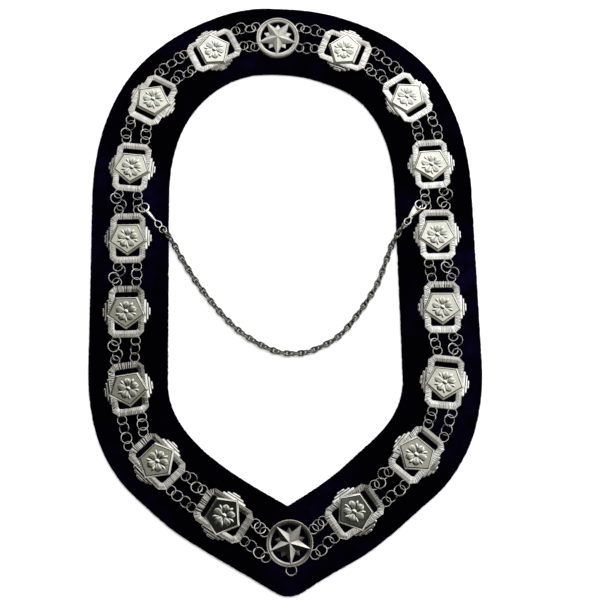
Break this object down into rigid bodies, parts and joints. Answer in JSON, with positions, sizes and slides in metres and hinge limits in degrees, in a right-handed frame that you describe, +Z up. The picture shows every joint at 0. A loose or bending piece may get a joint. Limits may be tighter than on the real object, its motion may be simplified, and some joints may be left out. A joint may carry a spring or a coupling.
{
  "type": "chain collar",
  "caption": "Ceremonial velvet neck band carrying pierced metal plaques and star medallions joined by strands of jump rings, with a fine chain clasped across the neck opening.",
  "frame": {"origin": "on the back of the velvet, at the middle of the collar's length and width", "axes": "+Z up out of the face that shows, +Y towards the back of the wearer's neck, +X to the right as it is seen from above"},
  "size_m": [0.3888, 0.612, 0.0103],
  "materials": {
    "velvet": "cut pile velvet",
    "plaque_metal": "silvered, hammered and polished",
    "ring_metal": "polished wire",
    "chain_metal": "dark gunmetal"
  },
  "bodies": {
    "root": {"velvet_band": "velvet", "plaque_right_1": "plaque_metal", "plaque_right_2": "plaque_metal", "plaque_right_3": "plaque_metal", "plaque_right_4": "plaque_metal", "plaque_right_5": "plaque_metal", "plaque_right_6": "plaque_metal", "plaque_right_7": "plaque_metal", "plaque_right_8": "plaque_metal", "plaque_left_1": "plaque_metal", "plaque_left_2": "plaque_metal", "plaque_left_3": "plaque_metal", "plaque_left_4": "plaque_metal", "plaque_left_5": "plaque_metal", "plaque_left_6": "plaque_metal", "plaque_left_7": "plaque_metal", "plaque_left_8": "plaque_metal", "star_back": "plaque_metal", "star_front": "plaque_metal", "links_right_outer_1": "ring_metal", "links_right_outer_2": "ring_metal", "links_right_outer_3": "ring_metal", "links_right_outer_4": "ring_metal", "links_right_outer_5": "ring_metal", "links_right_outer_6": "ring_metal", "links_right_outer_7": "ring_metal", "links_right_outer_8": "ring_metal", "links_right_outer_9": "ring_metal", "links_right_inner_1": "ring_metal", "links_right_inner_2": "ring_metal", "links_right_inner_3": "ring_metal", "links_right_inner_4": "ring_metal", "links_right_inner_5": "ring_metal", "links_right_inner_6": "ring_metal", "links_right_inner_7": "ring_metal", "links_right_inner_8": "ring_metal", "links_right_inner_9": "ring_metal", "links_left_outer_1": "ring_metal", "links_left_outer_2": "ring_metal", "links_left_outer_3": "ring_metal", "links_left_outer_4": "ring_metal", "links_left_outer_5": "ring_metal", "links_left_outer_6": "ring_metal", "links_left_outer_7": "ring_metal", "links_left_outer_8": "ring_metal", "links_left_outer_9": "ring_metal", "links_left_inner_1": "ring_metal", "links_left_inner_2": "ring_metal", "links_left_inner_3": "ring_metal", "links_left_inner_4": "ring_metal", "links_left_inner_5": "ring_metal", "links_left_inner_6": "ring_metal", "links_left_inner_7": "ring_metal", "links_left_inner_8": "ring_metal", "links_left_inner_9": "ring_metal", "neck_chain": "chain_metal", "clasp_right": "ring_metal", "clasp_left": "ring_metal"}
  },
  "joints": []
}
